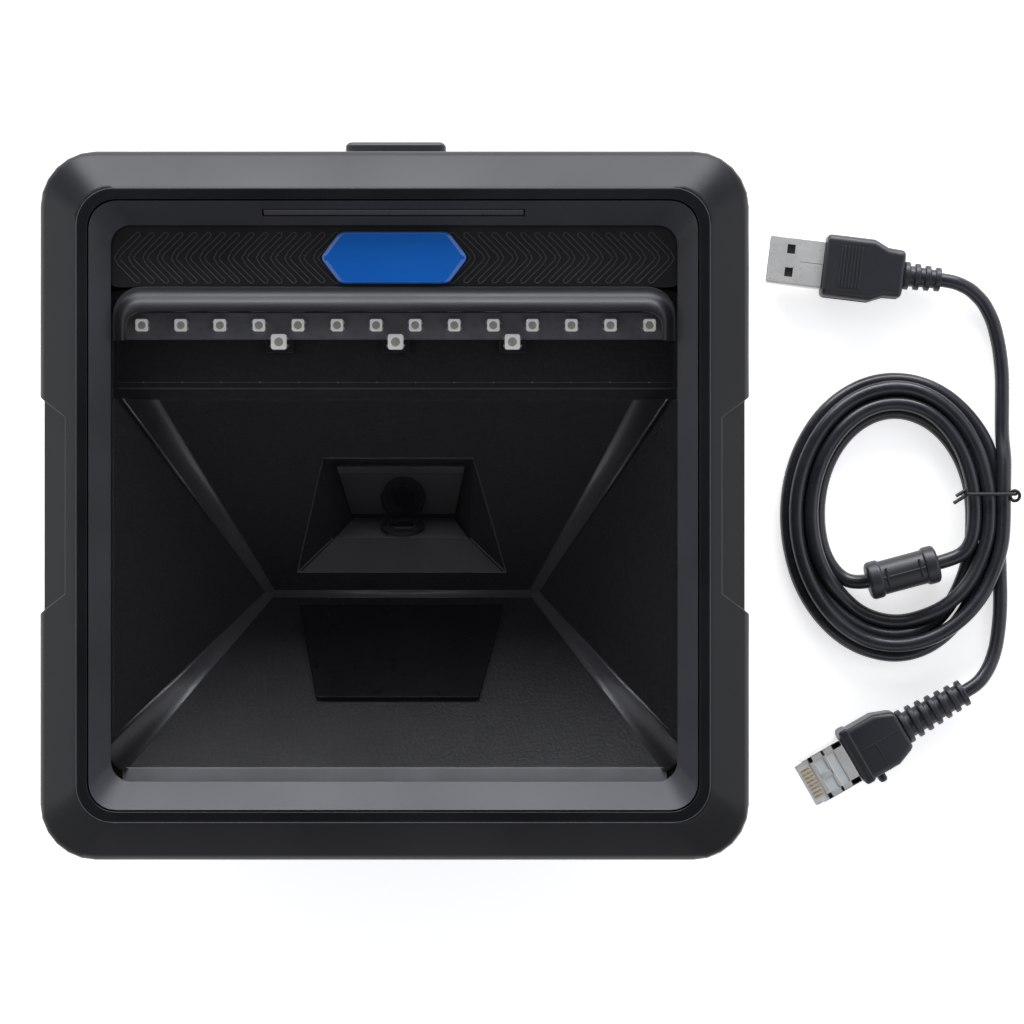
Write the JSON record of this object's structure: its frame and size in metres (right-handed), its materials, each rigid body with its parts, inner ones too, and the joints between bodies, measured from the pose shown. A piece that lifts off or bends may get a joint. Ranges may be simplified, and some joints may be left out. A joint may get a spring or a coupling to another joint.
{
  "type": "flatbed barcode scanner",
  "caption": "Desktop barcode scanner: square sunken glass window over a funnel-shaped optics chamber with an LED row, a top push button, and a detachable data cable coiled beside it.",
  "frame": {"origin": "on the table under the centre of the scanner's outline, which the top button counts in; the loose cable is left out", "axes": "+Z the way the window looks, +Y towards the button side, +X towards the loose cable"},
  "size_m": [0.2328, 0.1628, 0.085],
  "materials": {
    "housing_black": "fine spark texture, satin",
    "bezel_black": "fine texture, satin",
    "panel_black": "smooth matte with engraved chevrons",
    "chamber_black": "coarse spark texture",
    "window_glass": "clear, polished",
    "mirror_dark": "dark first-surface mirror",
    "badge_blue": "gloss, domed edge",
    "light_bar": "smoked, unlit",
    "rubber_black": "matte",
    "steel": "zinc plated",
    "jack_shield": "tinned",
    "circuit_board": "solder mask",
    "led_board": "dark grey solder mask",
    "led_body": "white reflector cup, unlit",
    "lens_black": "satin",
    "lens_glass": "coated",
    "connector_black": "soft moulded PVC",
    "cord_black": "satin PVC sheath",
    "tie_black": "plastic coated wire",
    "plug_metal": "nickel plated",
    "plug_clear": "clear polycarbonate",
    "insulator_white": "moulded"
  },
  "bodies": {
    "scanner": {"front_frame": "housing_black", "window_bezel": "bezel_black", "status_light_bar": "light_bar", "window_glass": "window_glass", "trim_panel": "panel_black", "window_gasket": "rubber_black", "led_hood": "bezel_black", "badge": "badge_blue", "optics_chamber": "chamber_black", "fold_mirror": "mirror_dark", "lower_mirror": "mirror_dark", "lens_barrel": "lens_black", "lens_front_glass": "lens_glass", "camera_board": "circuit_board", "led_board": "led_board", "rear_housing": "housing_black", "base_cover": "housing_black", "main_board": "circuit_board", "rj45_jack": "jack_shield", "button_switch": "connector_black", "switch_board": "circuit_board", "rj45_plug": "plug_metal", "rj45_boot": "connector_black", "rj45_relief": "connector_black", "usb_shell": "plug_metal", "usb_overmold": "connector_black", "usb_relief": "connector_black", "cord_coil": "cord_black", "cord_usb_tail": "cord_black", "cord_rj45_tail": "cord_black", "twist_tie": "tie_black", "ferrite": "connector_black", "led_white_01": "led_body", "led_white_02": "led_body", "led_white_03": "led_body", "led_white_04": "led_body", "led_white_05": "led_body", "led_white_06": "led_body", "led_white_07": "led_body", "led_white_08": "led_body", "led_white_09": "led_body", "led_white_10": "led_body", "led_white_11": "led_body", "led_white_12": "led_body", "led_white_13": "led_body", "led_white_14": "led_body", "led_aim_1": "led_body", "led_aim_2": "led_body", "led_aim_3": "led_body", "foot_1": "rubber_black", "base_screw_1": "steel", "foot_2": "rubber_black", "base_screw_2": "steel", "foot_3": "rubber_black", "base_screw_3": "steel", "foot_4": "rubber_black", "base_screw_4": "steel"},
    "button": {"top_button": "bezel_black"},
    "switch_plunger": {"switch_plunger": "insulator_white"},
    "plug_latch": {"rj45_latch": "plug_clear"}
  },
  "joints": [
    {"name": "button_press", "type": "slide", "parent": "scanner", "child": "button", "axis": [0, -1, 0], "range_m": [0, 0.0008], "stiffness_N_per_m": 750, "springref_m": -0.0005},
    {"name": "plunger_press", "type": "slide", "parent": "scanner", "child": "switch_plunger", "axis": [0, -1, 0], "range_m": [0, 0.00055]},
    {"name": "latch_press", "type": "hinge", "parent": "scanner", "child": "plug_latch", "pos_m": [0.10019, -0.07075, 0.0027], "axis": [0.5, -0.866, 0], "range_deg": [0, 8], "stiffness_Nm_per_rad": 0.05}
  ],
  "couplings": [
    {"joint": "plunger_press", "follows": "button_press", "ratio": 0.6875}
  ]
}
